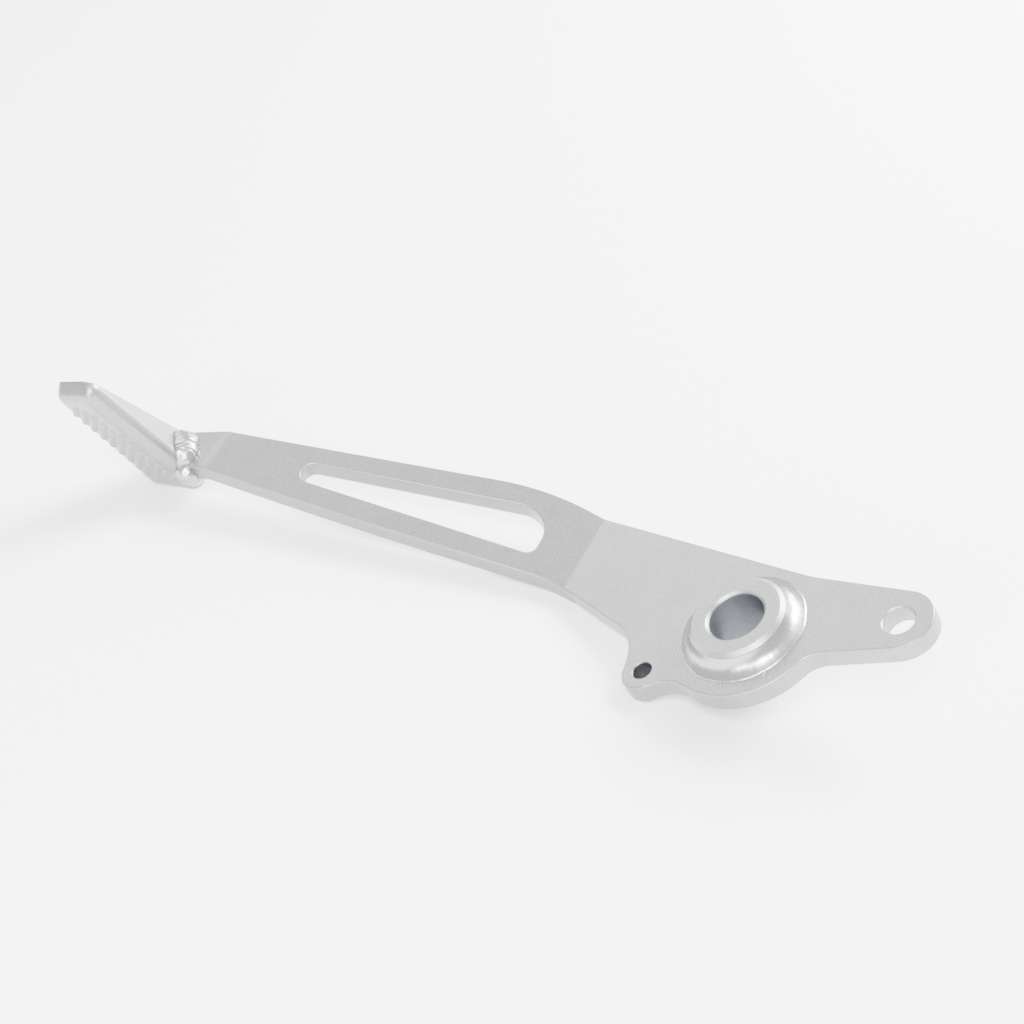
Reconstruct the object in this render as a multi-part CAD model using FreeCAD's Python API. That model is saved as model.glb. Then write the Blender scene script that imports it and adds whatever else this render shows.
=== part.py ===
import FreeCAD, Part
import math
import os

from FreeCAD import Vector

# Rear brake pedal for a motorbike, right-hand side, in millimetres.
# The lever is drawn in its own working axes. X runs forward from the pivot to the
# foot tread, Y runs up on the vehicle, Z runs outboard along the pivot axis, and
# the outer face of the plate round the pivot is at Z = 0. Places along the lever
# are distances on its outer face, measured round the bends.
# The finished pedal is then turned to lie on its inboard side, with Z up.

# Lever plate
plate_thickness = 6.0
plate_edge_round = 0.5
bend_inside_radius = 3.0
bend_angle = 22.6
first_bend_at = 66.35
second_bend_at = 193.15

# Boss of the lever round the pivot
boss_radius = 22.8

# Tail with the clevis hole for the brake rod
clevis_x = -43.6
clevis_y = -8.7
clevis_hole_radius = 4.5
clevis_chamfer = 0.3
tail_end_x = -43.4
tail_end_y = -9.0
tail_end_radius = 9.75
tail_neck_x = -21.5
tail_neck_y = 5.6
tail_neck_radius = 8.0

# Ear with the hole for the return spring
ear_x = 24.7
ear_y = 17.8
spring_hole_radius = 2.8
spring_chamfer = 0.3
ear_end_radius = 6.4
ear_back_hollow = 11.5
ear_foot_x = 33.3
ear_foot_y = 6.9
ear_foot_radius = 15.5

# Lower edge of the lever
belly_start_at = -12.3
belly_start_y = -20.2
belly_start_radius = 50.0
belly_at = 88.0
belly_y = -37.7
belly_radius = 76.0
neck_low_y = -18.6
neck_low_radius = 40.0

# Slanted front end of the plate, under the tread
end_low_at = 214.6
end_low_y = -16.9
end_high_at = 201.2
end_high_y = -2.4
end_corner_radius = 1.0

# Upper edge of the lever
crown_at = 140.0
crown_y = -4.0
crown_radius = 2000.0
shoulder_at = 69.6
shoulder_y = -8.0
shoulder_radius = 35.0

# Long lightening slot in the arm
slot_rear_at = 80.8
slot_rear_high_y = -14.1
slot_rear_high_radius = 3.0
slot_rear_low_y = -31.1
slot_rear_low_radius = 9.9
slot_front_at = 162.5
slot_front_high_y = -10.75
slot_front_low_y = -17.5
slot_front_radius = 3.5

# Pivot collar
pivot_bore_radius = 8.0
collar_radius = 14.0
collar_slip = 0.1
collar_proud_outer = 6.0
collar_proud_inner = 8.0
collar_bore_chamfer = 0.8
collar_rim_chamfer = 1.1

# Weld rings round the collar
outer_weld_height = 4.6
outer_weld_toe = 4.2
inner_weld_height = 3.5
inner_weld_toe = 3.5
weld_hollow = 0.35

# Foot tread, in its own axes: u outboard along the tread, v forward, w up from the web
tread_behind_end = 23.4
tread_x = end_low_at - tread_behind_end
tread_y = -0.4
tread_z = 45.6
tread_cant = 10.0
tread_sheet = 2.0
tread_root_u = -10.2
tread_root_skew = 0.16
tread_tip_u = 43.6
tread_tip_lean = 30.0
tread_back_v = -3.0
tread_back_skew = 0.045
tread_back_lean = 41.2
tread_front_v = 23.2
tread_front_skew = -0.05
tread_back_bend = 3.8
tread_edge_bend = 3.0
tread_depth_root = 16.8
tread_depth_tip = 5.6
tread_rim_fall = 0.03

# Knurl on the tread, rows of small flat-topped pyramids turned 45 degrees
knurl_pitch = 3.05
knurl_height = 0.8
knurl_base = 2.75
knurl_top = 0.9
knurl_sink = 1.0
knurl_grid_start = 4.63
knurl_root_gap = 7.0
knurl_front_gap = 2.6
knurl_tip_gap = 4.6
knurl_back_v = 4.4
knurl_back_slope = 0.22

# Weld beads between the plate and the tread
outer_bead_radius = 5.6
inner_bead_radius = 4.0
top_bead_radius = 3.4
top_bead_ahead = 1.0
outer_bead_high_margin = 6.0
outer_bead_low_margin = 9.5
inner_bead_high_margin = 3.5
inner_bead_low_margin = 6.0

# Attitude of the pedal lying on its inboard side, on the ear, a bend and the tread
lie_roll = -21.455
lie_pitch = 15.711


def along(distance):
    """X of a point of the outer face, from its distance along the lever."""
    arm = min(max(distance - first_bend_at, 0.0), second_bend_at - first_bend_at)
    beyond = max(distance - second_bend_at, 0.0)
    return min(distance, first_bend_at) + arm * math.cos(math.radians(bend_angle)) + beyond


def rise():
    """Height of the outer face beyond the second bend."""
    return (second_bend_at - first_bend_at) * math.sin(math.radians(bend_angle))


def disc(x, y, radius, low, high):
    return Part.makeCylinder(radius, high - low, Vector(x, y, low))


def rounded_prism(corners, low, high):
    """An upright solid with a rounded outline, from corners given as (x, y, radius)."""
    places = [Vector(x, y, low) for x, y, radius in corners]
    arcs = []
    for number, (x, y, radius) in enumerate(corners):
        here = places[number]
        back = (places[number - 1] - here).normalize()
        ahead = (places[(number + 1) % len(places)] - here).normalize()
        half = back.getAngle(ahead) / 2
        reach = radius / math.tan(half)
        middle = here + (back + ahead).normalize() * (radius / math.sin(half) - radius)
        arcs.append((here + back * reach, middle, here + ahead * reach, radius))
    edges = []
    for number, (start, middle, end, radius) in enumerate(arcs):
        edges.append(Part.LineSegment(arcs[number - 1][2], start).toShape())
        if radius:
            edges.append(Part.Arc(start, middle, end).toShape())
    return Part.Face(Part.Wire(edges)).extrude(Vector(0, 0, high - low))


def circle_leaving_point(x, y, centre_x, centre_y, radius, side):
    """Where a straight edge from a point touches a round end, on the side +1 or -1."""
    reach = Vector(x - centre_x, y - centre_y, 0)
    turn = math.atan2(reach.y, reach.x) + side * math.acos(radius / reach.Length)
    return centre_x + radius * math.cos(turn), centre_y + radius * math.sin(turn)


def ear(low, high):
    """The spring ear, joined to the boss by a hollow tangent to both."""
    to_boss = boss_radius + ear_back_hollow
    to_eye = ear_end_radius + ear_back_hollow
    gap = math.hypot(ear_x, ear_y)
    run = (to_boss ** 2 - to_eye ** 2 + gap ** 2) / (2 * gap)
    side = math.sqrt(to_boss ** 2 - run ** 2)
    hollow_x = (run * ear_x - side * ear_y) / gap
    hollow_y = (run * ear_y + side * ear_x) / gap
    web = rounded_prism([(0, 0, 0), (ear_x, ear_y, 0), (hollow_x, hollow_y, 0)], low, high)
    web = web.cut(disc(hollow_x, hollow_y, ear_back_hollow, low, high))
    return web.fuse(disc(ear_x, ear_y, ear_end_radius, low, high))


def tail(low, high):
    """The tail, its straight upper edge running into the boss with a hollow corner."""
    touch_x, touch_y = circle_leaving_point(
        tail_neck_x, tail_neck_y, tail_end_x, tail_end_y, tail_end_radius, 1
    )
    corners = [
        (touch_x, touch_y, 0),
        (tail_end_x, tail_end_y, 0),
        (0, 0, 0),
        (0, boss_radius / 2, 0),
        (tail_neck_x, tail_neck_y, 0),
    ]
    return rounded_prism(corners, low, high).fuse(disc(tail_end_x, tail_end_y, tail_end_radius, low, high))


def boss(low, high):
    """The round of the boss, which shows on the upper side of the lever only."""
    return Part.makeCylinder(boss_radius, high - low, Vector(0, 0, low), Vector(0, 0, 1), 180)


def outline(low, high):
    """The outline of the whole lever, as an upright solid."""
    front_x, front_y = circle_leaving_point(ear_foot_x, ear_foot_y, ear_x, ear_y, ear_end_radius, 1)
    low_x, low_y = circle_leaving_point(
        belly_start_at, belly_start_y, tail_end_x, tail_end_y, tail_end_radius, -1
    )
    chain = [
        (ear_x, ear_y, 0),
        (0, 0, 0),
        (tail_end_x, tail_end_y, 0),
        (low_x, low_y, 0),
        (belly_start_at, belly_start_y, belly_start_radius),
        (along(belly_at), belly_y, belly_radius),
        (along(second_bend_at), neck_low_y, neck_low_radius),
        (along(end_low_at), end_low_y, end_corner_radius),
        (along(end_high_at), end_high_y, end_corner_radius),
        (along(crown_at), crown_y, crown_radius),
        (along(shoulder_at), shoulder_y, shoulder_radius),
        (ear_foot_x, ear_foot_y, ear_foot_radius),
        (front_x, front_y, 0),
    ]
    shape = rounded_prism(chain, low, high)
    shape = shape.multiFuse([boss(low, high), tail(low, high), ear(low, high)])
    shape = shape.removeSplitter()
    corner = upright_edge_near(shape, tail_neck_x, tail_neck_y)
    return shape.makeFillet(tail_neck_radius, [corner])


def upright_edge_near(shape, x, y):
    """The edge along Z that stands nearest to a point of the outline."""
    upright = [edge for edge in shape.Edges if abs(edge.BoundBox.ZLength - shape.BoundBox.ZLength) < 0.001]
    return min(upright, key=lambda edge: math.hypot(edge.Vertexes[0].X - x, edge.Vertexes[0].Y - y))


def bent_strip():
    """The plate seen on its edge, a strip with two opposite bends, wider than the lever."""
    shift = plate_thickness * math.tan(math.radians(bend_angle) / 2)
    start, end = tail_end_x - 2 * tail_end_radius, along(end_low_at) + 2 * plate_thickness
    low_side, high_side = belly_y - plate_thickness, ear_y + 2 * ear_end_radius
    first, second = along(first_bend_at), along(second_bend_at)
    outer, inner = bend_inside_radius + plate_thickness, bend_inside_radius
    section = [
        (start, 0, 0),
        (first, 0, inner),
        (second, rise(), outer),
        (end, rise(), 0),
        (end, rise() - plate_thickness, 0),
        (second + shift, rise() - plate_thickness, inner),
        (first + shift, -plate_thickness, outer),
        (start, -plate_thickness, 0),
    ]
    strip = rounded_prism(section, -high_side, -low_side)
    strip.Placement = FreeCAD.Placement(Vector(0, 0, 0), FreeCAD.Rotation(Vector(1, 0, 0), 90))
    return strip


def slot():
    """The slot through the arm, square to the arm's own face, wide and round at the rear."""
    corners = [
        (slot_rear_at, slot_rear_high_y, slot_rear_high_radius),
        (slot_rear_at, slot_rear_low_y, slot_rear_low_radius),
        (slot_front_at, slot_front_low_y, slot_front_radius),
        (slot_front_at, slot_front_high_y, slot_front_radius),
    ]
    opening = rounded_prism(corners, -2 * plate_thickness, plate_thickness)
    opening.translate(Vector(-first_bend_at, 0, 0))
    opening.rotate(Vector(0, 0, 0), Vector(0, 1, 0), -bend_angle)
    opening.translate(Vector(first_bend_at, 0, 0))
    return opening


def middle_of(face):
    first_u, last_u, first_v, last_v = face.ParameterRange
    return face.valueAt((first_u + last_u) / 2, (first_v + last_v) / 2)


def rim_edges(plate, strip):
    """The edges where the cut walls of the plate meet its two faces."""
    edges = []
    for edge in plate.Edges:
        beside = plate.ancestorsOfType(edge, Part.Face)
        walls = [face for face in beside if strip.Shells[0].distToShape(Part.Vertex(middle_of(face)))[0] > 0.01]
        if len(walls) == 1 and len(beside) == 2:
            edges.append(edge)
    return edges


def round_edges(shape, radius, x, y, reach):
    """The circular edges of one hole of a flat plate, found by its centre."""
    found = []
    for edge in shape.Edges:
        curve = edge.Curve
        if isinstance(curve, Part.Circle) and abs(curve.Radius - radius) < 0.001:
            if math.hypot(curve.Center.x - x, curve.Center.y - y) < reach:
                found.append(edge)
    return found


def drilled(plate, x, y, radius, chamfer):
    """The plate with a chamfered hole through it, square to its face at the pivot."""
    plate = plate.cut(disc(x, y, radius, -2 * plate_thickness, plate_thickness))
    return plate.makeChamfer(chamfer, round_edges(plate, radius, x, y, 0.001))


def largest_solid(shape):
    return max(shape.Solids, key=lambda solid: solid.Volume)


def lever_plate(tread):
    """The lever, blanked from plate, bent twice and ended against the tread."""
    top = rise() + plate_thickness
    strip = bent_strip()
    plate = outline(-2 * plate_thickness, top).common(strip).cut(slot())
    plate = plate.makeFillet(plate_edge_round, rim_edges(plate, strip))
    plate = drilled(plate, clevis_x, clevis_y, clevis_hole_radius, clevis_chamfer)
    plate = drilled(plate, ear_x, ear_y, spring_hole_radius, spring_chamfer)
    plate = plate.cut(disc(0, 0, collar_radius + collar_slip, -2 * plate_thickness, plate_thickness))
    return largest_solid(plate.cut(tread))


def turned(profile):
    """A solid of revolution about the pivot axis, from (radius, height) points."""
    corners = [Vector(radius, 0, height) for radius, height in profile]
    return flat_face(corners).revolve(Vector(0, 0, 0), Vector(0, 0, 1), 360)


def pivot_collar():
    """The turned collar, set through the plate and proud of it on both sides."""
    low, high = -plate_thickness - collar_proud_inner, collar_proud_outer
    bore, rim = collar_bore_chamfer, collar_rim_chamfer
    return turned(
        [
            (pivot_bore_radius, low + bore),
            (pivot_bore_radius + bore, low),
            (collar_radius - rim, low),
            (collar_radius, low + rim),
            (collar_radius, high - rim),
            (collar_radius - rim, high),
            (pivot_bore_radius + bore, high),
            (pivot_bore_radius, high - bore),
        ]
    )


def weld_ring(face_height, height, toe, way):
    """A slightly hollow fillet weld round the collar, on the side that way points to."""
    wall = Vector(collar_radius, 0, face_height + way * height)
    root = Vector(collar_radius, 0, face_height)
    foot = Vector(collar_radius + toe, 0, face_height)
    inward = Vector(-height, 0, -way * toe).normalize()
    waist = (wall + foot) / 2 + inward * weld_hollow
    section = Part.Wire(
        [
            Part.LineSegment(wall, root).toShape(),
            Part.LineSegment(root, foot).toShape(),
            Part.Arc(foot, waist, wall).toShape(),
        ]
    )
    return Part.Face(section).revolve(Vector(0, 0, 0), Vector(0, 0, 1), 360)


def tread_placement():
    """Carries the tread's own axes, u, v and w, to the lever's."""
    outboard = Vector(0, math.sin(math.radians(tread_cant)), math.cos(math.radians(tread_cant)))
    forward = Vector(1, 0, 0)
    frame = FreeCAD.Matrix()
    frame.setCol(0, outboard)
    frame.setCol(1, forward)
    frame.setCol(2, outboard.cross(forward))
    frame.setCol(3, Vector(tread_x, tread_y, tread_z))
    return FreeCAD.Placement(frame)


class Wall:
    """A flat wall of the tread, as the plane normal . point = distance."""

    def __init__(self, u, v, w, distance):
        self.normal = Vector(u, v, w)
        self.distance = distance / self.normal.Length
        self.normal.normalize()

    def height(self, point):
        return self.normal.dot(point) - self.distance


def corner_of(a, b, c):
    """The point where three walls meet."""
    n, m, k = a.normal, b.normal, c.normal
    mixed = m.cross(k) * a.distance + k.cross(n) * b.distance + n.cross(m) * c.distance
    return mixed * (1 / n.dot(m.cross(k)))


def moved_in(wall, depth):
    """The same wall, further inside the tread."""
    return Wall(wall.normal.x, wall.normal.y, wall.normal.z, wall.distance - depth)


def tread_walls():
    """Web, back, front, root and tip walls of the tread, each normal pointing outwards."""
    back_slope = math.tan(math.radians(tread_back_lean))
    tip_slope = math.tan(math.radians(tread_tip_lean))
    web = Wall(0, 0, 1, 0)
    back = Wall(tread_back_skew, -1, -back_slope, -tread_back_v)
    front = Wall(-tread_front_skew, 1, 0, tread_front_v)
    root = Wall(-1, tread_root_skew, 0, -tread_root_u)
    tip = Wall(1, 0, tip_slope, tread_tip_u)
    return web, back, front, root, tip


def tread_rim():
    """The plane that the rim of the tread lies in, its depth falling to the tip and forward."""
    tip_reach = tread_tip_u + tread_depth_tip * math.tan(math.radians(tread_tip_lean))
    slope = (tread_depth_root - tread_depth_tip) / tip_reach
    return Wall(slope, tread_rim_fall, -1, tread_depth_root)


def sharp_edges(shape, wanted):
    """The edges with a real corner whose middle point is wanted."""
    found = []
    for edge in shape.Edges:
        middle = edge.valueAt((edge.FirstParameter + edge.LastParameter) / 2)
        if not wanted(middle):
            continue
        sides = shape.ancestorsOfType(edge, Part.Face)
        normals = [side.normalAt(*side.Surface.parameter(middle)) for side in sides]
        if len(normals) == 2 and normals[0].getAngle(normals[1]) > 0.1:
            found.append(edge)
    return found


def flat_face(corners):
    return Part.Face(Part.makePolygon(corners + corners[:1]))


def flat_walled(top, bottom):
    """A closed solid with flat walls between two rings of as many corners."""
    faces = [flat_face(top), flat_face(bottom)]
    for number in range(len(top)):
        faces.append(flat_face([top[number - 1], top[number], bottom[number], bottom[number - 1]]))
    shell = Part.makeShell(faces)
    shell.sewShape()
    return Part.makeSolid(shell)


def tread_form(inset, rim):
    """The pressed form of the tread, or its hollow when inset is the sheet thickness."""
    web, back, front, root, tip = [moved_in(wall, inset) for wall in tread_walls()]
    sides = [(root, back), (back, tip), (tip, front), (front, root)]
    top, bottom = [[corner_of(first, second, level) for first, second in sides] for level in (web, rim)]
    form = flat_walled(top, bottom)
    back_bend = sharp_edges(form, lambda point: web.height(point) > -0.001 and back.height(point) > -0.001)
    form = form.makeFillet(tread_back_bend - inset, back_bend)
    return form.makeFillet(tread_edge_bend - inset, sharp_edges(form, lambda point: rim.height(point) < -0.5))


def pyramid(u, v):
    """One flat-topped pyramid of the knurl, on a block that is sunk into the web."""
    base, top = knurl_base / 2, knurl_top / 2
    cap = Part.makeWedge(-base, 0, -base, -top, -top, base, knurl_height, base, top, top)
    cap.rotate(Vector(0, 0, 0), Vector(1, 0, 0), 90)
    block = Part.makeBox(knurl_base, knurl_base, knurl_sink, Vector(-base, -base, -knurl_sink))
    solid = cap.fuse(block)
    solid.rotate(Vector(0, 0, 0), Vector(0, 0, 1), 45)
    solid.translate(Vector(u, v, 0))
    return solid


def knurl():
    """Pyramids on a diagonal grid, kept clear of the bends and of a slanted line behind."""
    web, back, front, root, tip = tread_walls()
    row_step = knurl_pitch / math.sqrt(2)
    rows = math.ceil(tread_front_v / row_step)
    columns = math.ceil(tread_tip_u / row_step)
    pyramids = []
    for row in range(rows):
        for column in range(row % 2, columns, 2):
            u = tread_root_u + knurl_grid_start + column * row_step
            v = tread_front_v - knurl_front_gap - row * row_step
            place = Vector(u, v, 0)
            clear_of_root = root.height(place) < -knurl_root_gap
            clear_of_tip = tip.height(place) < -knurl_tip_gap
            clear_of_front = front.height(place) < -knurl_front_gap
            ahead_of_line = v > knurl_back_v + knurl_back_slope * u
            if clear_of_root and clear_of_tip and clear_of_front and ahead_of_line:
                pyramids.append(pyramid(u, v))
    return pyramids


def filled_tread():
    """The tread and its knurl with the hollow underneath still filled."""
    form = tread_form(0.0, tread_rim()).multiFuse(knurl())
    form.Placement = tread_placement()
    return form


def foot_tread(filled):
    """The tread, pressed from sheet and open underneath, with the knurl on its web."""
    hollow = tread_form(tread_sheet, moved_in(tread_rim(), -tread_sheet))
    hollow.Placement = tread_placement()
    return filled.cut(hollow)


def bead(start, end, radius):
    """A round-ended bead of weld metal between two points."""
    body = Part.makeCylinder(radius, (end - start).Length, start, end - start)
    return body.multiFuse([Part.makeSphere(radius, start), Part.makeSphere(radius, end)])


def end_line(height, high_margin, low_margin):
    """The slanted front end of the plate as two points at a height, inside its corners."""
    high = Vector(along(end_high_at), end_high_y, height)
    low = Vector(along(end_low_at), end_low_y, height)
    slant = (low - high).normalize()
    return high + slant * high_margin, low - slant * low_margin


def tread_welds(plate, tread):
    """Weld beads where the plate ends against the back of the tread, on three sides."""
    top, bottom = rise(), rise() - plate_thickness
    outer_high, outer_low = end_line(top, outer_bead_high_margin, outer_bead_low_margin)
    inner_high, inner_low = end_line(bottom, inner_bead_high_margin, inner_bead_low_margin)
    corner = Vector(along(end_high_at) + top_bead_ahead, end_high_y, (top + bottom) / 2)
    beads = {
        "tread_weld_top": Part.makeSphere(top_bead_radius, corner),
        "tread_weld_outer": bead(outer_high, outer_low, outer_bead_radius),
        "tread_weld_inner": bead(inner_high, inner_low, inner_bead_radius),
    }
    laid = []
    for name, metal in beads.items():
        for solid in [plate, tread] + laid:
            metal = metal.cut(solid)
        metal = largest_solid(metal)
        laid.append(metal)
        beads[name] = metal
    return beads


def lying(shape):
    """Turns a piece from the lever's axes to the attitude in which the pedal lies."""
    shape = shape.copy()
    shape.rotate(Vector(0, 0, 0), Vector(1, 0, 0), lie_roll)
    shape.rotate(Vector(0, 0, 0), Vector(0, 1, 0), lie_pitch)
    return shape


def pedal():
    """All pieces of the pedal by name, in the attitude in which it lies."""
    tread = filled_tread()
    plate = lever_plate(tread)
    pieces = {
        "lever_plate": plate,
        "pivot_collar": pivot_collar(),
        "collar_weld_outer": weld_ring(0.0, outer_weld_height, outer_weld_toe, 1),
        "collar_weld_inner": weld_ring(-plate_thickness, inner_weld_height, inner_weld_toe, -1),
        "foot_tread": foot_tread(tread),
    }
    pieces.update(tread_welds(plate, tread))
    return {name: lying(shape) for name, shape in pieces.items()}


os.makedirs("parts", exist_ok=True)
for node, solid in pedal().items():
    solid.exportStep("parts/" + node + ".step")
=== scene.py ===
import logging
import math
from dataclasses import dataclass, field
from enum import Enum
from typing import Any

import bmesh
import bpy
from mathutils import Matrix, Vector, noise


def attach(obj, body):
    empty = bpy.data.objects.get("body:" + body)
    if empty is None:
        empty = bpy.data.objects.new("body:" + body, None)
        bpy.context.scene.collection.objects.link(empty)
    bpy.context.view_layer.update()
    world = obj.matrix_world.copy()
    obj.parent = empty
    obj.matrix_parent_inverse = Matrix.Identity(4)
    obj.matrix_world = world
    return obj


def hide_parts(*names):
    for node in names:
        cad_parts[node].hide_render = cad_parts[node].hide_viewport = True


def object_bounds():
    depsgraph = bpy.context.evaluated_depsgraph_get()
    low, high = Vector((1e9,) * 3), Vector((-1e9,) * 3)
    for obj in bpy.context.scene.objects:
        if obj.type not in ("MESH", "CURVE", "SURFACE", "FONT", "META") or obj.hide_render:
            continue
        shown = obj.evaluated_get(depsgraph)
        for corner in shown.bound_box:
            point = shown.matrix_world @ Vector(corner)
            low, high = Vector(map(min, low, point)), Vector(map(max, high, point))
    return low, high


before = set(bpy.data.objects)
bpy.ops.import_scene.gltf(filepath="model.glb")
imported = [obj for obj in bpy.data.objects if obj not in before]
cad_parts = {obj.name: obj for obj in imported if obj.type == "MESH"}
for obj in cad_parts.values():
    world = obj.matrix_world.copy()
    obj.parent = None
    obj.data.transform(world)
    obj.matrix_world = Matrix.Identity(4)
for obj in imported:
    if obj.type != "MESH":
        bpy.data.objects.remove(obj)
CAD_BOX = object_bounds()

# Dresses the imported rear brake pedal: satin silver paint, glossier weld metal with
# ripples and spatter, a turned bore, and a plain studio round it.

logging.basicConfig(level=logging.INFO, format="%(name)s: %(message)s")
log = logging.getLogger("pedal")

MM = 0.001
BODY = "root"

# The pedal lies turned by these angles, about X and then about Y.
LIE_ROLL = -21.455
LIE_PITCH = 15.711

Colour = tuple[float, float, float]
Place = tuple[float, float, float]

# What counts as one point, in millimetres, and as one flat face, in degrees.
MERGE_DISTANCE = 0.0005
FLAT_ANGLE = 0.2


def lever_matrix() -> Matrix:
    """Returns the matrix from the lever's own axes, in millimetres, to the frame's, in metres."""
    roll = Matrix.Rotation(math.radians(LIE_ROLL), 4, "X")
    pitch = Matrix.Rotation(math.radians(LIE_PITCH), 4, "Y")
    return pitch @ roll @ Matrix.Scale(MM, 4)


class Slot(Enum):
    """The record's material slots."""

    SILVER_PAINT = "silver_paint"
    COLLAR_STEEL = "collar_steel"
    TREAD_STEEL = "tread_steel"
    WELD_METAL = "weld_metal"


class Wire:
    """A number in a material, on which Python's arithmetic makes Math nodes."""

    def __init__(self, shader: "Shader", socket: bpy.types.NodeSocket) -> None:
        """Wraps an output socket of a node of the shader."""
        self.shader = shader
        self.socket = socket

    def math(self, operation: str, *others: "Wire | float") -> "Wire":
        """Adds one Math node with this wire as its first input.

        Args:
            operation: The node's operation, such as ADD.
            *others: Its further inputs in order, as wires or numbers.

        Returns:
            The node's result.
        """
        return self.shader.math(operation, self, *others)

    def __add__(self, other: "Wire | float") -> "Wire":
        """Returns self + other."""
        return self.math("ADD", other)

    def __radd__(self, other: float) -> "Wire":
        """Returns other + self."""
        return self.shader.math("ADD", other, self)

    def __sub__(self, other: "Wire | float") -> "Wire":
        """Returns self - other."""
        return self.math("SUBTRACT", other)

    def __rsub__(self, other: float) -> "Wire":
        """Returns other - self."""
        return self.shader.math("SUBTRACT", other, self)

    def __mul__(self, other: "Wire | float") -> "Wire":
        """Returns self * other."""
        return self.math("MULTIPLY", other)

    def __rmul__(self, other: float) -> "Wire":
        """Returns other * self."""
        return self.shader.math("MULTIPLY", other, self)

    def step(self, low: float, high: float) -> "Wire":
        """Fades from 0 at low to 1 at high.

        Args:
            low: The value that gives 0.
            high: The value that gives 1; it may be the smaller one.

        Returns:
            The faded mask.
        """
        faded = (self - low) * (1.0 / (high - low))
        return faded.math("MAXIMUM", 0.0).math("MINIMUM", 1.0)


class Shader:
    """One material, whose nodes are all added by the same method."""

    def __init__(self, name: str) -> None:
        """Makes an empty material with a Principled BSDF on its output."""
        self.material = bpy.data.materials.new(name)
        self.material.use_nodes = True
        self.tree = self.material.node_tree
        self.tree.nodes.clear()
        self.surface = self.add("ShaderNodeBsdfPrincipled")
        self.add("ShaderNodeOutputMaterial", values={"Surface": self.surface.outputs["BSDF"]})
        self.place = self.add("ShaderNodeTexCoord").outputs["Object"]

    def add(
        self, kind: str, settings: dict[str, Any] | None = None, values: dict[Any, Any] | None = None
    ) -> bpy.types.Node:
        """Adds a node.

        Args:
            kind: The node's type name.
            settings: Its properties, which are set first.
            values: Its inputs by name or number, as numbers, sockets or wires.

        Returns:
            The node.
        """
        node = self.tree.nodes.new(kind)
        for key, setting in (settings or {}).items():
            setattr(node, key, setting)
        for key, value in (values or {}).items():
            self.feed(node.inputs[key], value)
        return node

    def feed(self, target: bpy.types.NodeSocket, value: Any) -> None:
        """Links a wire or socket to an input, or sets the input's own value."""
        if isinstance(value, Wire):
            value = value.socket
        if isinstance(value, bpy.types.NodeSocket):
            self.tree.links.new(value, target)
        else:
            target.default_value = value

    def wire(
        self, kind: str, settings: dict[str, Any] | None = None, values: dict[Any, Any] | None = None
    ) -> Wire:
        """Adds a node as add does and returns its first output as a wire."""
        return Wire(self, self.add(kind, settings, values).outputs[0])

    def math(self, operation: str, *operands: Wire | float) -> Wire:
        """Adds one Math node.

        Args:
            operation: The node's operation, such as ADD.
            *operands: Its inputs in order, as wires or numbers.

        Returns:
            The node's result.
        """
        return self.wire("ShaderNodeMath", {"operation": operation}, dict(enumerate(operands)))

    def dress(self, **values: Any) -> None:
        """Sets inputs of the Principled BSDF, with underscores for the spaces in their names."""
        for key, value in values.items():
            self.feed(self.surface.inputs[key.replace("_", " ")], value)

    def noise(self, size: float, detail: float = 2.0) -> Wire:
        """Adds a noise pattern on the object's own coordinates.

        Args:
            size: The size of its grains, in millimetres.
            detail: How many finer layers it has.

        Returns:
            Its value, about 0.5 on average.
        """
        values = {"Vector": self.place, "Scale": 1.0 / (size * MM), "Detail": detail}
        return self.wire("ShaderNodeTexNoise", {"noise_dimensions": "3D"}, values)

    def mix(self, mask: Wire, low: Any, high: Any) -> bpy.types.NodeSocket:
        """Mixes two colours.

        Args:
            mask: 0 gives the first colour and 1 the second.
            low: The first colour, as three numbers or a socket.
            high: The second colour, as three numbers or a socket.

        Returns:
            The mixed colour's socket.
        """
        node = self.add("ShaderNodeMix", {"data_type": "RGBA"})
        sockets = {socket.identifier: socket for socket in node.inputs}
        self.feed(sockets["Factor_Float"], mask)
        for key, colour in (("A_Color", low), ("B_Color", high)):
            self.feed(sockets[key], (*colour, 1.0) if isinstance(colour, tuple) else colour)
        return next(socket for socket in node.outputs if socket.identifier == "Result_Color")

    def bump(self, height: Wire, depth: float) -> bpy.types.NodeSocket:
        """Turns heights from 0 to 1 into a normal, for a relief of that depth in millimetres."""
        values = {"Height": height, "Distance": depth * MM, "Strength": 1.0}
        return self.add("ShaderNodeBump", values=values).outputs["Normal"]


@dataclass(frozen=True)
class Hole:
    """A round hole along the pivot axis that the paint hardly reached; its wall is also painted darker
    as painted shade of the hole's depth and the shadowed floor under it.

    Attributes:
        x: Its place in the lever's axes, in millimetres.
        y: Its place in the lever's axes, in millimetres.
        radius: Its radius, in millimetres.
        light: The colour of its wall on the crests of the tool marks.
        dark: The colour of its wall between them. Both colours are bare steel darkened with painted
            shade.
    """

    x: float
    y: float
    radius: float
    light: Colour
    dark: Colour


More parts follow.
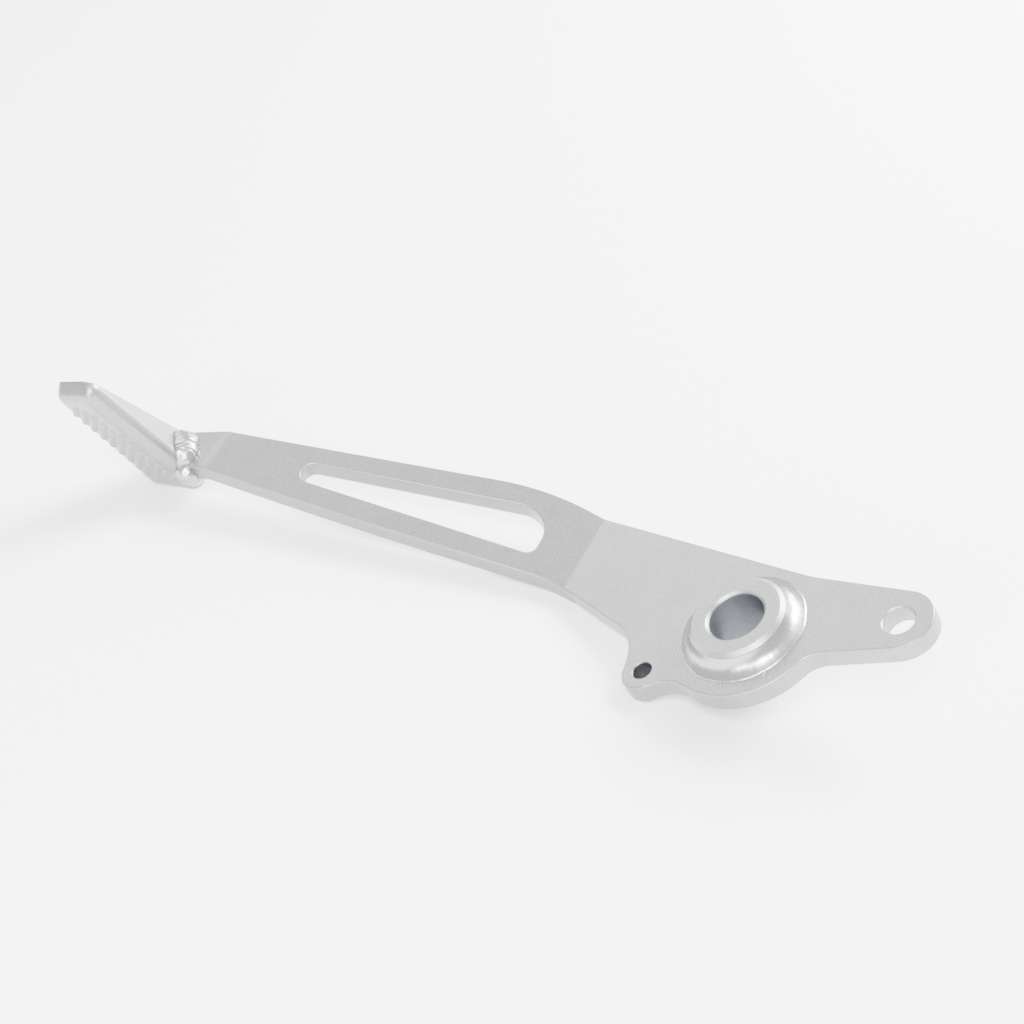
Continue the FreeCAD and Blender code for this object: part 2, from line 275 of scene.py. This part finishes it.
@dataclass(frozen=True)
class SatinPaint:
    """Satin silver paint with fine metal flakes and a slight orange peel.

    Attributes:
        name: The material's name.
        light: Its colour on the brighter flakes.
        dark: Its colour between them.
        metallic: How much of it is metal flake.
        roughness: Its mean roughness.
        roughness_spread: How far the roughness wanders.
        smear_size: The size of its smoother and rougher patches, in millimetres.
        flake_size: The size of the flakes, in millimetres.
        flake_edges: The noise values between which the flakes fade from dark to light.
        cloud_size: The size of the broad, faint clouds in its colour, in millimetres.
        cloud_share: The clouds' share in the colour; the rest is flakes.
        peel_size: The size of the orange peel, in millimetres.
        peel_depth: The depth of the orange peel, in millimetres.
        grain_share: The flakes' share in the relief; the rest is orange peel.
        coat: The weight of the clear coat.
        coat_roughness: The clear coat's roughness.
        holes: The holes whose walls are bare steel with painted shade in them.
        mark_pitch: The pitch of the tool marks in them, in millimetres.
        mark_depth: The depth of the tool marks, in millimetres.
        mark_wander: How far the tool marks wander, in radians.
        wander_size: The size of that wander's waves, in millimetres.
        stain_size: The size of the stains on a hole's wall, in millimetres.
        rim: How far past a hole's wall its look is still full, and where it has gone,
            in millimetres.
    """

    name: str
    light: Colour = (0.310, 0.313, 0.319)
    dark: Colour = (0.186, 0.188, 0.193)
    metallic: float = 0.8
    roughness: float = 0.40
    roughness_spread: float = 0.12
    smear_size: float = 6.0
    flake_size: float = 0.42
    flake_edges: tuple[float, float] = (0.28, 0.72)
    cloud_size: float = 14.0
    cloud_share: float = 0.25
    peel_size: float = 1.6
    peel_depth: float = 0.04
    grain_share: float = 0.4
    coat: float = 0.15
    coat_roughness: float = 0.25
    holes: tuple[Hole, ...] = ()
    mark_pitch: float = 0.55
    mark_depth: float = 0.05
    mark_wander: float = 9.0
    wander_size: float = 5.0
    stain_size: float = 2.5
    rim: tuple[float, float] = (0.05, 0.35)

    def colour_mask(self, shader: Shader) -> Wire:
        """Returns the pattern of flakes over broad, faint clouds."""
        flakes = shader.noise(self.flake_size, 1.0).step(*self.flake_edges)
        clouds = shader.noise(self.cloud_size)
        return flakes * (1.0 - self.cloud_share) + clouds * self.cloud_share

    def relief(self, shader: Shader) -> Wire:
        """Returns the orange peel with the flakes' own grain on it."""
        peel = shader.noise(self.peel_size)
        grain = shader.noise(self.flake_size, 1.0)
        return peel * (1.0 - self.grain_share) + grain * self.grain_share

    def lever_place(self, shader: Shader) -> list[Wire]:
        """Returns a point's three coordinates along the lever's axes, in metres."""
        turned = lever_matrix().inverted().to_euler()
        values = {"Vector": shader.place, "Rotation": turned}
        place = shader.add("ShaderNodeMapping", {"vector_type": "POINT"}, values).outputs[0]
        parts = shader.add("ShaderNodeSeparateXYZ", values={"Vector": place}).outputs
        return [Wire(shader, socket) for socket in parts]

    def material(self) -> bpy.types.Material:
        """Builds the material."""
        shader = Shader(self.name)
        colour = shader.mix(self.colour_mask(shader), self.dark, self.light)
        relief = self.relief(shader)
        if self.holes:
            x, y, height = self.lever_place(shader)
            wander = shader.noise(self.wander_size) * self.mark_wander
            turn = height * (math.tau / (self.mark_pitch * MM)) + wander
            crests = turn.math("SINE") * 0.5 + 0.5
        near, far = self.rim
        for hole in self.holes:
            across, side = x - hole.x * MM, y - hole.y * MM
            reach = (across * across + side * side).math("SQRT")
            inside = reach.step((hole.radius + far) * MM, (hole.radius + near) * MM)
            stains = shader.noise(self.stain_size, 3.0)
            # The hole's wall: bare steel tool marks and stains, in colours darkened with painted shade.
            wall = shader.mix(crests * 0.5 + stains * 0.5, hole.dark, hole.light)
            colour = shader.mix(inside, colour, wall)
            relief = relief + inside * crests * (self.mark_depth / self.peel_depth)
        smears = shader.noise(self.smear_size, 3.0) - 0.5
        shader.dress(
            Base_Color=colour,
            Metallic=self.metallic,
            Roughness=smears * self.roughness_spread + self.roughness,
            Normal=shader.bump(relief, self.peel_depth),
            Coat_Weight=self.coat,
            Coat_Roughness=self.coat_roughness,
        )
        return shader.material


@dataclass(frozen=True)
class StageCloth:
    """The pale, finely woven cloth that the pedal lies on.

    Attributes:
        name: The material's name.
        colour: Its colour.
        thread: The pitch of its weave, in millimetres.
        crease_size: The size of its soft creases, in millimetres.
        relief: The depth of its weave and creases, in millimetres.
        glow: The light that shines through it from below.
    """

    name: str = "pale_cloth"
    colour: Colour = (0.86, 0.86, 0.86)
    thread: float = 0.9
    crease_size: float = 9.0
    relief: float = 0.10
    glow: float = 0.2

    def material(self) -> bpy.types.Material:
        """Builds the material."""
        shader = Shader(self.name)
        weave = shader.noise(self.thread, 1.0) * 0.5 + shader.noise(self.crease_size) * 0.5
        shader.dress(
            Base_Color=(*self.colour, 1.0),
            Roughness=0.95,
            Normal=shader.bump(weave, self.relief),
            Specular_IOR_Level=0.1,
            Emission_Color=(1.0, 1.0, 1.0, 1.0),
            Emission_Strength=self.glow,
        )
        return shader.material


def placed(name: str, data: bpy.types.ID) -> bpy.types.Object:
    """Returns a new object of the scene, at the origin, that holds some data."""
    item = bpy.data.objects.new(name, data)
    bpy.context.scene.collection.objects.link(item)
    return item


def write_back(mesh: bmesh.types.BMesh, data: bpy.types.Mesh) -> None:
    """Writes a bmesh to a mesh and frees it."""
    mesh.to_mesh(data)
    mesh.free()


def linked_object(name: str, mesh: bmesh.types.BMesh) -> bpy.types.Object:
    """Writes a bmesh to a new object at the origin, and frees it."""
    data = bpy.data.meshes.new(name)
    write_back(mesh, data)
    return placed(name, data)


def shade_smooth(item: bpy.types.Object) -> None:
    """Shades the whole of a piece smooth."""
    for polygon in item.data.polygons:
        polygon.use_smooth = True


def shade_by_angle(item: bpy.types.Object, degrees: float) -> None:
    """Shades a piece smooth, apart from edges that turn by more than an angle."""
    limit = math.radians(degrees)
    mesh = bmesh.new()
    mesh.from_mesh(item.data)
    for face in mesh.faces:
        face.smooth = True
    for edge in mesh.edges:
        edge.smooth = len(edge.link_faces) == 2 and edge.calc_face_angle(0.0) < limit
    write_back(mesh, item.data)


def finish_piece(item: bpy.types.Object, material: bpy.types.Material, slot: Slot, *nodes: str) -> None:
    """Dresses a new piece and ties it to the pedal.

    Args:
        item: The piece.
        material: Its finish.
        slot: The record's slot that the finish stands for; not used.
        *nodes: The CAD nodes that it replaces.
    """
    item.data.materials.clear()
    item.data.materials.append(material)
    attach(item, BODY)
    if nodes:
        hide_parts(*nodes)
    log.info("%s: %d faces", item.name, len(item.data.polygons))


def remeshed(item: bpy.types.Object, grain: float) -> bmesh.types.BMesh:
    """Remeshes a piece into small, even faces.

    Args:
        item: The piece.
        grain: The size of the faces, in millimetres.

    Returns:
        The fine mesh.
    """
    remesh = item.modifiers.new("grain", "REMESH")
    remesh.mode = "VOXEL"
    remesh.voxel_size = grain * MM
    graph = bpy.context.evaluated_depsgraph_get()
    fine = bpy.data.meshes.new_from_object(item.evaluated_get(graph))
    item.modifiers.clear()
    mesh = bmesh.new()
    mesh.from_mesh(fine)
    bpy.data.meshes.remove(fine)
    return mesh


def smooth(mesh: bmesh.types.BMesh, verts: list[bmesh.types.BMVert], passes: int) -> None:
    """Smooths some vertices of a mesh a number of times."""
    for _ in range(passes):
        bmesh.ops.smooth_vert(
            mesh, verts=verts, factor=0.5, use_axis_x=True, use_axis_y=True, use_axis_z=True
        )
    mesh.normal_update()


def merged_copy(node: str) -> bmesh.types.BMesh:
    """Returns a CAD node's mesh as a bmesh with its triangles joined into flat faces."""
    mesh = bmesh.new()
    mesh.from_mesh(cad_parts[node].data)
    bmesh.ops.remove_doubles(mesh, verts=mesh.verts, dist=MERGE_DISTANCE * MM)
    bmesh.ops.dissolve_limit(
        mesh,
        angle_limit=math.radians(FLAT_ANGLE),
        verts=mesh.verts,
        edges=mesh.edges,
        delimit={"NORMAL"},
    )
    return mesh


@dataclass
class PaintedSteel:
    """The pieces whose form is the frame's own: the plate and the collar.

    Attributes:
        crease: The angle beyond which an edge of them is shaded sharp, in degrees.
        face_weight: How far the shading leans to the larger faces; 50 is even.
        paints: Each node's finish and slot.
    """

    crease: float = 32.0
    face_weight: int = 100
    paints: dict[str, tuple[SatinPaint, Slot]] = field(
        default_factory=lambda: {
            "lever_plate": (
                SatinPaint(
                    "satin_silver_plate",
                    # Painted shade: the spring-ear hole's wall is painted near black for the shade in
                    # the hole and the shadowed floor seen through it.
                    holes=(Hole(24.7, 17.8, 2.8, (0.075, 0.079, 0.092), (0.035, 0.037, 0.047)),),
                ),
                Slot.SILVER_PAINT,
            ),
            "pivot_collar": (
                SatinPaint(
                    "satin_silver_collar",
                    # Painted shade: the bore's wall is bare turned steel, painted darker for the shade
                    # inside the bore.
                    holes=(Hole(0.0, 0.0, 8.0, (0.15, 0.157, 0.178), (0.065, 0.069, 0.083)),),
                ),
                Slot.COLLAR_STEEL,
            ),
        }
    )

    def build(self) -> None:
        """Makes a smoothly shaded copy of each piece and dresses it."""
        for node, (paint, slot) in self.paints.items():
            item = linked_object(node + "_skin", merged_copy(node))
            shade_by_angle(item, self.crease)
            weighted = item.modifiers.new("flat_faces_first", "WEIGHTED_NORMAL")
            weighted.keep_sharp = True
            weighted.weight = self.face_weight
            finish_piece(item, paint.material(), slot, node)


@dataclass(frozen=True)
class Wall:
    """A flat wall of the tread, as a plane in the tread's axes.

    Attributes:
        normal: The plane's normal, of any length.
        offset: What a point of the plane gives along that normal.
        zone: How far from the plane the softening reaches, in millimetres.
    """

    normal: Place
    offset: float
    zone: float

    def near(self, place: Vector) -> bool:
        """Returns whether a point lies in the wall's zone or beyond the wall."""
        normal = Vector(self.normal)
        return (place.dot(normal) - self.offset) / normal.length > -self.zone


@dataclass
class FootTread:
    """The pressed tread, with its folds and outline softened as the press left them.

    Attributes:
        node: The CAD node that it replaces.
        origin: The tread's origin in the lever's axes, in millimetres.
        cant: Its turn about the lever's length, in degrees.
        walls: Its tip, front and root walls.
        passes: How often the zones along the walls are smoothed.
        knurl_foot: The height over its face above which the knurling stays as it is, in
            millimetres.
        grain: The size of the mesh that it is modelled in, in millimetres.
        paint: Its finish.
    """

    node: str = "foot_tread"
    origin: Place = (191.2, -0.4, 45.6)
    cant: float = 10.0
    walls: tuple[Wall, ...] = (
        Wall((1.0, 0.0, 0.577), 43.6, 2.0),
        Wall((0.05, 1.0, 0.0), 23.2, 0.9),
        Wall((-1.0, 0.16, 0.0), 10.2, 1.2),
    )
    passes: int = 18
    knurl_foot: float = 0.05
    grain: float = 0.30
    paint: SatinPaint = SatinPaint("satin_silver_tread", roughness=0.36)

    def placement(self) -> Matrix:
        """Returns the matrix from the tread's axes, in millimetres, to the frame's, in metres."""
        cant, (x, y, z) = math.radians(self.cant), self.origin
        rows = (
            (0.0, 1.0, 0.0, x),
            (math.sin(cant), 0.0, math.cos(cant), y),
            (math.cos(cant), 0.0, -math.sin(cant), z),
            (0.0, 0.0, 0.0, 1.0),
        )
        return lever_matrix() @ Matrix(rows)

    def near_wall(self, place: Vector) -> bool:
        """Returns whether a point lies in the zone along the tip, front or root wall."""
        return any(wall.near(place) for wall in self.walls)

    def build(self) -> None:
        """Remeshes the tread finely, softens it and dresses it."""
        item = linked_object("foot_tread_skin", merged_copy(self.node))
        mesh = remeshed(item, self.grain)
        back = self.placement().inverted()
        plain = [vertex for vertex in mesh.verts if (back @ vertex.co).z < self.knurl_foot]
        smooth(mesh, plain, 1)
        zone = [vertex for vertex in mesh.verts if self.near_wall(back @ vertex.co)]
        smooth(mesh, zone, self.passes)
        write_back(mesh, item.data)
        shade_smooth(item)
        finish_piece(item, self.paint.material(), Slot.TREAD_STEEL, self.node)


@dataclass
class CollarWeld:
    """A fillet weld run round the collar, with faint ripples and a wandering toe.

    Attributes:
        name: The piece's name.
        node: The CAD node that it replaces.
        wall_radius: The collar's radius, in millimetres.
        face_height: The height of the plate's face in the lever's axes.
        height: How far the weld climbs the collar.
        toe: How far it reaches over the plate.
        way: 1 on the outer side of the plate, -1 on the inner side.
        hollow: How deep its face is hollowed.
        lip: The height of its outer edge over the plate.
        ripple_count: The number of ripples round the ring.
        ripple_depth: Their depth, in millimetres.
        wander: How far the toe wanders, in millimetres.
        wander_waves: How densely the toe's wander repeats round the ring.
        patch_waves: How densely the smaller patches on it repeat.
        patch_share: The height of those patches, as a share of the wander.
        ripple_lag: How far the ripples trail from the collar to the toe, in radians.
        ripple_bend: How far they bend with the wander, in radians a millimetre.
        fade: How fast the relief grows from the collar's wall.
        toe_calm: How much less the toe rises than the rest.
        bite: How far the section reaches into the collar's wall, in millimetres.
        root: How far it reaches into the plate, in millimetres.
        crease: The angle beyond which an edge of it is shaded sharp, in degrees.
        steps: The number of sections round the ring.
        bead_points: The number of points on the weld's face in one section.
    """

    name: str
    node: str
    wall_radius: float = 14.0
    face_height: float = 0.0
    height: float = 4.6
    toe: float = 4.2
    way: int = 1
    hollow: float = 0.75
    lip: float = 0.22
    ripple_count: int = 58
    ripple_depth: float = 0.006
    wander: float = 0.30
    wander_waves: float = 2.6
    patch_waves: float = 7.0
    patch_share: float = 0.45
    ripple_lag: float = 2.4
    ripple_bend: float = 6.0
    fade: float = 4.0
    toe_calm: float = 0.8
    bite: float = 0.2
    root: float = 0.3
    crease: float = 60.0
    steps: int = 360
    bead_points: int = 14

    def section(self) -> list[tuple[float, float]]:
        """Returns the closed section as (radius, height) points, root first."""
        far = self.wall_radius + self.toe
        inside = self.wall_radius - self.bite
        points = [(inside, -self.root), (far, -self.root), (far + 0.04, 0.05), (far, self.lip)]
        rise = self.height - self.lip
        chord = math.hypot(self.toe, rise)
        for number in range(1, self.bead_points + 1):
            turn = number / self.bead_points
            sink = self.hollow * math.sin(math.pi * turn)
            radius = far - self.toe * turn - sink * rise / chord
            height = self.lip + rise * turn - sink * self.toe / chord
            points.append((radius, height))
        points.append((inside, self.height))
        return points

    def worked(self, place: Vector) -> Vector:
        """Moves one point of the plain ring by the ripples and the wander of the weld."""
        reach = math.hypot(place.x, place.y)
        share = (reach - self.wall_radius) / self.toe
        if place.z < -0.2 or share < 0.02:
            return place
        angle = math.atan2(place.y, place.x)
        circle = Vector((math.cos(angle), math.sin(angle), 0.0))
        ring_seed = Vector((0, 0, 7.0 * self.way))
        patch_seed = Vector((0, 0, 2.0 + 1.4 * share))
        wander = noise.noise(circle * self.wander_waves + ring_seed) * self.wander
        patch = noise.noise(circle * self.patch_waves + patch_seed) * self.patch_share * self.wander
        lag = self.ripple_lag * share + self.ripple_bend * wander
        ripple = math.sin(angle * self.ripple_count + lag) * self.ripple_depth
        free = min(1.0, self.fade * share)
        grow = (wander + patch) * share + ripple * free
        outward = circle * grow * share
        return place + outward + Vector((0, 0, grow * free * (1.0 - self.toe_calm * share)))

    def build(self, material: bpy.types.Material) -> None:
        """Spins the section round the pivot axis, works it and dresses it."""
        mesh = bmesh.new()
        corners = [mesh.verts.new((radius, 0.0, height)) for radius, height in self.section()]
        edges = [mesh.edges.new((corners[i - 1], corners[i])) for i in range(len(corners))]
        bmesh.ops.spin(
            mesh,
            geom=corners + edges,
            cent=(0, 0, 0),
            axis=(0, 0, 1),
            angle=2 * math.pi,
            steps=self.steps,
            use_merge=True,
        )
        for vertex in mesh.verts:
            vertex.co = self.worked(vertex.co)
        turn = Matrix.Scale(-1, 4, (0, 0, 1)) if self.way < 0 else Matrix.Identity(4)
        lift = Matrix.Translation((0, 0, self.face_height))
        bmesh.ops.transform(mesh, matrix=lever_matrix() @ lift @ turn, verts=mesh.verts)
        bmesh.ops.recalc_face_normals(mesh, faces=mesh.faces)
        item = linked_object(self.name, mesh)
        shade_by_angle(item, self.crease)
        finish_piece(item, material, Slot.WELD_METAL, self.node)


@dataclass
class TreadWeld:
    """A short lump of weld metal between the plate and the tread.

    Attributes:
        node: The CAD node that it replaces.
        swell: How far its surface swells past the plain bead, in millimetres.
        grain: The size of the mesh that it is modelled in, in millimetres.
        ripple_pitch: The pitch of its ripples, in millimetres.
        ripple_depth: Their depth, in millimetres.
        lumps: The height of the lumps between them, in millimetres.
        run: The direction in which the ripples follow each other, in the lever's axes.
        ripple_middle: The share of a ripple's height that lies under the swell.
        ripple_bend: How far the ripples bend, as a share of their pitch.
        bend_waves: How densely that bend repeats.
        lump_waves: How densely the lumps repeat.
        first_passes: How often the bead is smoothed before the ripples.
        last_passes: How often it is smoothed after them.
    """

    node: str
    swell: float = 0.3
    grain: float = 0.20
    ripple_pitch: float = 2.1
    ripple_depth: float = 0.20
    lumps: float = 0.35
    run: Place = (0.55, -0.80, 0.22)
    ripple_middle: float = 0.6
    ripple_bend: float = 0.9
    bend_waves: float = 0.30
    lump_waves: float = 0.38
    first_passes: int = 10
    last_passes: int = 4

    def build(self, material: bpy.types.Material) -> None:
        """Remeshes the bead finely, softens and ripples it, and dresses it."""
        item = linked_object(self.node + "_run", merged_copy(self.node))
        mesh = remeshed(item, self.grain)
        smooth(mesh, list(mesh.verts), self.first_passes)
        lever = lever_matrix().inverted()
        run = Vector(self.run)
        lump_seed = Vector((3.0, 0.0, 0.0))
        for vertex in mesh.verts:
            place = lever @ vertex.co
            bend = self.ripple_bend * noise.noise(place * self.bend_waves)
            phase = place.dot(run) / self.ripple_pitch + bend
            ripple = abs(math.sin(math.pi * phase)) - self.ripple_middle
            lump = noise.noise(place * self.lump_waves + lump_seed)
            grow = self.swell + self.ripple_depth * ripple + self.lumps * lump
            vertex.co += vertex.normal * grow * MM
        smooth(mesh, list(mesh.verts), self.last_passes)
        write_back(mesh, item.data)
        shade_smooth(item)
        finish_piece(item, material, Slot.WELD_METAL, self.node)


@dataclass
class Spatter:
    """Drops of spatter that froze on the plate round the collar's weld.

    Attributes:
        drops: Each drop's place and radius on the plate's face, in the lever's axes.
        stretch: How far a drop is stretched along those axes.
        lift: How high its middle lies over the plate's face, in millimetres.
    """

    drops: tuple[tuple[float, float, float], ...] = (
        (16.8, 9.4, 0.55),
        (-2.0, 19.2, 0.5),
        (-12.9, 13.8, 0.55),
        (6.5, 18.9, 0.28),
        (-9.8, 16.9, 0.3),
        (19.6, 4.1, 0.25),
    )
    stretch: Place = (1.0, 1.15, 0.7)
    lift: float = 0.05

    def build(self, material: bpy.types.Material) -> None:
        """Builds all the drops as one piece."""
        mesh = bmesh.new()
        for x, y, radius in self.drops:
            flat = Matrix.Translation((x, y, self.lift)) @ Matrix.Diagonal((*self.stretch, 1.0))
            bmesh.ops.create_icosphere(
                mesh, subdivisions=3, radius=radius, matrix=lever_matrix() @ flat
            )
        item = linked_object("weld_spatter", mesh)
        shade_smooth(item)
        finish_piece(item, material, Slot.WELD_METAL)


@dataclass
class Welds:
    """All the weld metal of the pedal.

    Attributes:
        paint: The finish over all of it: the silver paint, in lighter colours as a painted sheen of the
            glossier weld.
        plate_thickness: The distance between the two rings' faces, in millimetres.
        swells: The three runs at the tread, and how far each swells, in millimetres.
    """

    # Painted sheen: the weld's colours are lighter than the plate's silver paint, standing in for its
    # brighter gloss.
    paint: SatinPaint = SatinPaint(
        "satin_silver_weld",
        light=(0.409, 0.412, 0.419),
        dark=(0.310, 0.313, 0.319),
        metallic=0.9,
        roughness=0.27,
        roughness_spread=0.18,
        peel_size=1.4,
        peel_depth=0.025,
    )
    plate_thickness: float = 6.0
    swells: tuple[tuple[str, float], ...] = (
        ("tread_weld_outer", 0.5),
        ("tread_weld_inner", 0.2),
        ("tread_weld_top", 0.5),
    )

    def build(self) -> None:
        """Builds the two rings, the three runs at the tread and the spatter."""
        material = self.paint.material()
        CollarWeld("collar_weld_outer_run", "collar_weld_outer").build(material)
        CollarWeld(
            "collar_weld_inner_run",
            "collar_weld_inner",
            face_height=-self.plate_thickness,
            height=3.5,
            toe=3.5,
            hollow=0.5,
            way=-1,
        ).build(material)
        for node, swell in self.swells:
            TreadWeld(node, swell).build(material)
        Spatter().build(material)


@dataclass
class Softbox:
    """A large square lamp that points at the pedal.

    Attributes:
        name: The lamp's name.
        direction: Where it hangs, seen from the pedal.
        distance: How far from the pedal it hangs, in metres.
        size: The length of its side, in metres.
        power: Its power, in watts.
        colour: The colour of its light.
    """

    name: str
    direction: Place
    distance: float
    size: float
    power: float
    colour: Colour = (1.0, 1.0, 1.0)

    def build(self, middle: Vector) -> None:
        """Hangs the lamp and turns it to the middle of the pedal."""
        lamp = bpy.data.lights.new(self.name, "AREA")
        lamp.shape = "SQUARE"
        lamp.size = self.size
        lamp.energy = self.power
        lamp.color = self.colour
        item = placed(self.name, lamp)
        away = Vector(self.direction).normalized()
        item.location = middle + away * self.distance
        item.rotation_euler = away.to_track_quat("Z", "Y").to_euler()


@dataclass
class Studio:
    """Floor, lamps, sky and camera.

    Attributes:
        lens: The camera's focal length, in millimetres.
        sensor: The width of its sensor, in millimetres.
        clip: The nearest and the farthest distance that it sees, in metres.
        eye: The camera's place, in millimetres.
        aim: The point that it looks at, in millimetres.
        tilt: How far the camera leans to its right, in degrees.
        sky: The brightness of the sky.
        floor_size: The length of the floor's side, in metres.
        lamps: The softboxes.
    """

    lens: float = 70.3125
    sensor: float = 36.0
    clip: tuple[float, float] = (0.01, 50.0)
    eye: Place = (-218.896, 382.920, 322.328)
    aim: Place = (69.331, 10.947, 18.745)
    tilt: float = 2.2057
    sky: float = 1.4
    floor_size: float = 12.0
    lamps: tuple[Softbox, ...] = (
        Softbox("key_softbox", (-0.262, -0.720, 0.643), 1.4, 0.7, 100.0),
        Softbox("front_softbox", (-0.098, 0.935, 0.342), 1.4, 0.5, 20.0),
        Softbox("high_front_softbox", (-0.326, 0.613, 0.719), 1.4, 0.5, 58.0),
        Softbox("back_softbox", (-0.033, -0.950, 0.309), 1.4, 0.5, 32.0),
        Softbox("top_softbox", (-0.235, -0.407, 0.883), 1.4, 0.8, 10.0),
        Softbox("left_softbox", (0.728, -0.302, 0.616), 1.4, 0.8, 11.5),
    )

    def build(self) -> None:
        """Builds the stage round the pedal."""
        low, high = (Vector(corner) for corner in CAD_BOX)
        self.floor(low.z)
        for lamp in self.lamps:
            lamp.build((low + high) / 2)
        self.sky_light()
        self.camera()

    def floor(self, height: float) -> None:
        """Lays the pale floor under the lowest point of the pedal."""
        mesh = bmesh.new()
        bmesh.ops.create_grid(mesh, x_segments=2, y_segments=2, size=self.floor_size / 2)
        bmesh.ops.translate(mesh, verts=mesh.verts, vec=(0, 0, height))
        item = linked_object("studio_floor", mesh)
        item.data.materials.append(StageCloth().material())

    def sky_light(self) -> None:
        """Fills the scene with an even white light."""
        world = bpy.data.worlds.new("studio_sky")
        world.use_nodes = True
        background = world.node_tree.nodes["Background"]
        background.inputs["Color"].default_value = (1.0, 1.0, 1.0, 1.0)
        background.inputs["Strength"].default_value = self.sky
        bpy.context.scene.world = world

    def camera(self) -> None:
        """Sets the camera where the photograph was taken from."""
        lens = bpy.data.cameras.new("studio_camera")
        lens.lens = self.lens
        lens.sensor_width = self.sensor
        lens.clip_start, lens.clip_end = self.clip
        item = placed("studio_camera", lens)
        eye, aim = Vector(self.eye) * MM, Vector(self.aim) * MM
        level = (aim - eye).to_track_quat("-Z", "Y").to_matrix().to_4x4()
        lean = Matrix.Rotation(math.radians(-self.tilt), 4, "Z")
        item.matrix_world = Matrix.Translation(eye) @ level @ lean
        bpy.context.scene.camera = item


def main() -> None:
    """Builds the pedal's pieces in order, and the studio round them."""
    PaintedSteel().build()
    FootTread().build()
    Welds().build()
    Studio().build()


if __name__ == "__main__":
    main()
